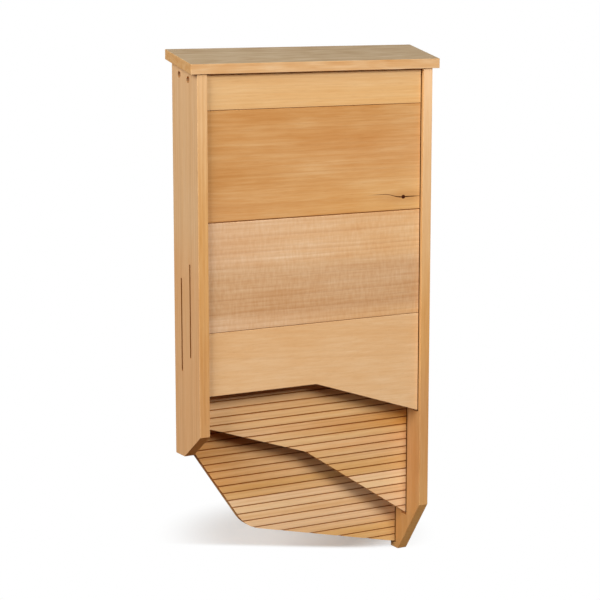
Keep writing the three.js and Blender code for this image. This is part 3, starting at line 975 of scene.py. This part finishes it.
def keyhole_plate(node):
    """A plate with rounded corners, a keyhole and two countersunk holes, drawn flat and then stood up."""
    low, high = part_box(node)
    height = high.z - low.z
    middle = (low.z + high.z) / 2
    entry = KEYHOLE_ENTRY_Z - middle
    slot_end = -middle
    neck = sqrt(KEYHOLE_ENTRY_RADIUS ** 2 - KEYHOLE_SLOT_RADIUS ** 2)

    bm = bmesh.new()
    bmesh.ops.create_grid(bm, x_segments=1, y_segments=1, size=0.5)
    bmesh.ops.scale(bm, verts=bm.verts, vec=(high.x - low.x, height, 1))
    bmesh.ops.bevel(
        bm, geom=bm.verts[:], offset=PLATE_CORNER, affect="VERTICES", segments=CORNER_STEPS, profile=0.5,
        material=-1,
    )
    bmesh.ops.delete(bm, geom=bm.faces[:], context="FACES_ONLY")
    for side in (-1, 1):
        hole = bmesh.ops.create_circle(bm, cap_ends=False, radius=PLATE_HOLE_RADIUS, segments=ROUND_STEPS)
        bmesh.ops.translate(bm, verts=hole["verts"], vec=(0, side * (height / 2 - PLATE_SCREW_INSET), 0))

    start = bm.verts.new((-KEYHOLE_SLOT_RADIUS, entry + neck, 0))
    round_angle = 2 * pi - 2 * asin(KEYHOLE_SLOT_RADIUS / KEYHOLE_ENTRY_RADIUS)
    end = spin_point(bm, start, (0, entry, 0), round_angle)
    end = run_point(bm, end, slot_end - entry - neck)
    end = spin_point(bm, end, (0, slot_end, 0), pi)
    run_point(bm, end, entry + neck - slot_end)
    bmesh.ops.remove_doubles(bm, verts=bm.verts, dist=LEVEL_LIMIT)

    bmesh.ops.triangle_fill(bm, use_beauty=True, use_dissolve=False, edges=bm.edges)
    made = bmesh.ops.extrude_face_region(bm, geom=bm.faces[:])["geom"]
    moved = [g for g in made if isinstance(g, bmesh.types.BMVert)]
    bmesh.ops.translate(bm, verts=moved, vec=(0, 0, high.y - low.y))
    bmesh.ops.recalc_face_normals(bm, faces=bm.faces)

    def on_screw_hole_rim(vert):
        from_hole = Vector((vert.co.x, abs(vert.co.y) - height / 2 + PLATE_SCREW_INSET)).length
        return vert.co.z < LEVEL_LIMIT and abs(from_hole - PLATE_HOLE_RADIUS) < LEVEL_LIMIT

    def rims_screw_hole(edge):
        return all(on_screw_hole_rim(vert) for vert in edge.verts)

    ease(bm, COUNTERSINK, rims_screw_hole, steps=1)
    ease(bm, PLATE_EASE, lambda edge: edge.calc_face_angle(0) > PLATE_ARRIS_ANGLE)
    return to_wall(bm, low, high)


def spin_point(bm, point, centre, angle):
    """Draws an arc from a point anticlockwise round a centre, and returns its end."""
    made = bmesh.ops.spin(
        bm, geom=[point], cent=centre, axis=(0, 0, 1), angle=angle, steps=ROUND_STEPS, use_duplicate=False,
    )
    return [g for g in made["geom_last"] if isinstance(g, bmesh.types.BMVert)][0]


def run_point(bm, point, rise):
    """Draws a straight edge up from a point, and returns its end."""
    made = bmesh.ops.extrude_vert_indiv(bm, verts=[point])
    bmesh.ops.translate(bm, verts=made["verts"], vec=(0, rise, 0))
    return made["verts"][0]


def roof_dowel(node):
    """A fluted dowel with chamfered ends."""
    low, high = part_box(node)
    radius = (high.x - low.x) / 2

    def fluted(turn):
        step = round(turn * DOWEL_FLUTES * STEPS_PER_FLUTE) % STEPS_PER_FLUTE
        return radius - (DOWEL_FLUTE_DEPTH if step == 0 else 0)

    bm = bmesh.new()
    made = bmesh.ops.create_circle(
        bm, cap_ends=True, radius=radius - DOWEL_CHAMFER, segments=DOWEL_FLUTES * STEPS_PER_FLUTE,
    )
    ring = list({e for v in made["verts"] for e in v.link_edges})
    length = high.z - low.z
    ring = ring_on(bm, ring, DOWEL_CHAMFER, fluted)
    ring = ring_on(bm, ring, length - DOWEL_CHAMFER, fluted)
    ring = ring_on(bm, ring, length, radius - DOWEL_CHAMFER)
    bmesh.ops.contextual_create(bm, geom=ring)
    bmesh.ops.recalc_face_normals(bm, faces=bm.faces)
    bmesh.ops.translate(bm, verts=bm.verts, vec=((low.x + high.x) / 2, (low.y + high.y) / 2, low.z))
    return bm


MAKERS = {
    "side_board": side_board,
    "roof_board": roof_board,
    "front_board": front_board,
    "partition_board": grooved_board,
    "back_board": grooved_board,
    "keyhole_plate": keyhole_plate,
    "plate_screw": plate_screw,
    "roof_dowel": roof_dowel,
}


def pieces():
    """Makes every piece of the box, in the order of the record."""
    beech = timber("dowel_beech", [(0, "rose"), (1, "rose")], heart=(0.02, 0.03, 9), run=UPRIGHT)
    plate_zinc = zinc("zinc_plated_steel", PLATE_ZINC, PLATE_WEAR)
    screw_zinc = zinc("zinc_plated_screws", SCREW_ZINC, SCREW_WEAR)
    looks = {"dowels": beech, "keyhole_plates": plate_zinc, "plate_screws": screw_zinc}
    for number, row in enumerate(frame["record"]["subparts"]):
        node = row["node"]
        slot = row["material_slot"]
        kind = next(name for name in MAKERS if node.startswith(name))
        look = looks[slot] if slot in looks else board_look(node, number)
        finish_piece(MAKERS[kind](node), node + "_piece", node, look)


def from_white_room(nodes):
    """Whether a ray is one that looks at the backdrop and not one that lights the object."""
    rays = nodes.add("LightPath").outputs
    seen = nodes.math("MAXIMUM", rays["Is Camera Ray"], rays["Is Glossy Ray"])
    return nodes.math("MAXIMUM", seen, rays["Is Transmission Ray"])


def studio():
    """A white backdrop and four soft lamps."""
    scene = bpy.context.scene
    world = bpy.data.worlds.new("white_room")
    scene.world = world
    world.use_nodes = True
    nodes = Nodes(world.node_tree)
    back = world.node_tree.nodes["Background"]
    back.inputs["Color"].default_value = WHITE
    nodes.feed(back.inputs["Strength"], nodes.ramp(from_white_room(nodes), 0, 1, AMBIENT, 1, shape="LINEAR"))

    soft_lamp("key", KEY_AZIMUTH, KEY_ELEVATION, KEY_DISTANCE, KEY_SIZE, KEY_STRENGTH)
    soft_lamp("fill", FILL_AZIMUTH, FILL_ELEVATION, FILL_DISTANCE, FILL_SIZE, FILL_STRENGTH)
    soft_lamp("right", RIGHT_AZIMUTH, LOW_ELEVATION, FILL_DISTANCE, LOW_SIZE, RIGHT_STRENGTH)
    soft_lamp("back", BACK_AZIMUTH, LOW_ELEVATION, FILL_DISTANCE, LOW_SIZE, BACK_STRENGTH)


def soft_lamp(name, azimuth, elevation, distance, size, strength):
    """A square lamp aimed at the middle of the box. At strength 1 a surface that faces it looks as coloured.
    Metal doesn't show the lamps, because their glare would turn it white."""
    light = bpy.data.lights.new(name, "AREA")
    light.size = size
    light.energy = strength * pi * pi * distance ** 2
    lamp = bpy.data.objects.new(name, light)
    turn = Matrix.Rotation(radians(azimuth), 4, "Z") @ Matrix.Rotation(radians(90 - elevation), 4, "X")
    middle = Matrix.Translation((0, 0, (TOP + GROUND) / 2))
    lamp.matrix_world = middle @ turn @ Matrix.Translation((0, 0, distance))
    lamp.visible_glossy = False
    bpy.context.scene.collection.objects.link(lamp)


def floor():
    """A pale floor that shows the object's shadow only near it, and is white further off."""
    bm = bmesh.new()
    bmesh.ops.create_grid(bm, x_segments=1, y_segments=1, size=FLOOR_SIZE / 2)
    bmesh.ops.translate(bm, verts=bm.verts, vec=(0, 0, GROUND))
    mesh = bpy.data.meshes.new("floor")
    bm.to_mesh(mesh)
    bm.free()
    ground = bpy.data.objects.new("floor", mesh)
    bpy.context.scene.collection.objects.link(ground)

    material = bpy.data.materials.new("pale_floor")
    material.use_nodes = True
    material.node_tree.nodes.clear()
    nodes = Nodes(material.node_tree)
    place = nodes.add("TexCoord").outputs["Object"]
    flat = nodes.vector("MULTIPLY", nodes.vector("SUBTRACT", place, SHADOW_CENTRE), (1, 1, 0))
    near = nodes.fade(nodes.length(flat), SHADOW_START, SHADOW_END)
    from_corner = nodes.vector("SUBTRACT", place, SHADOW_CORNER)
    near = nodes.math("MULTIPLY", near, nodes.ramp(nodes.dot(from_corner, SHADOW_WAY), 0, SHADOW_BRIM))
    plain = nodes.add("BsdfDiffuse", {"Color": FLOOR_BOUNCE})
    shaded = nodes.add("BsdfDiffuse", {"Color": nodes.mix(near, BLACK, SHADED_FLOOR)})
    glow = nodes.ramp(near, 0, 1, 1, SHADOW_GLOW, "LINEAR")
    white = nodes.add("Emission", {"Color": WHITE, "Strength": glow})
    backdrop = nodes.add("AddShader", {0: shaded.outputs[0], 1: white.outputs[0]})
    inputs = {0: from_white_room(nodes), 1: plain.outputs[0], 2: backdrop.outputs[0]}
    nodes.feed(nodes.add("OutputMaterial").inputs["Surface"], nodes.add("MixShader", inputs).outputs[0])
    mesh.materials.append(material)


def camera():
    """The camera at the photographed angle."""
    lens = bpy.data.cameras.new("camera")
    lens.lens = CAMERA_FOCAL_PIXELS / FRAME_PIXELS * lens.sensor_width
    lens.clip_end = FLOOR_SIZE
    body = bpy.data.objects.new("camera", lens)
    body.location = CAMERA_PLACE
    body.rotation_euler = (radians(90 - CAMERA_PITCH), 0, radians(-CAMERA_YAW))
    bpy.context.scene.collection.objects.link(body)
    bpy.context.scene.camera = body


pieces()
studio()
floor()
camera()
bpy.context.scene.view_settings.view_transform = "Standard"
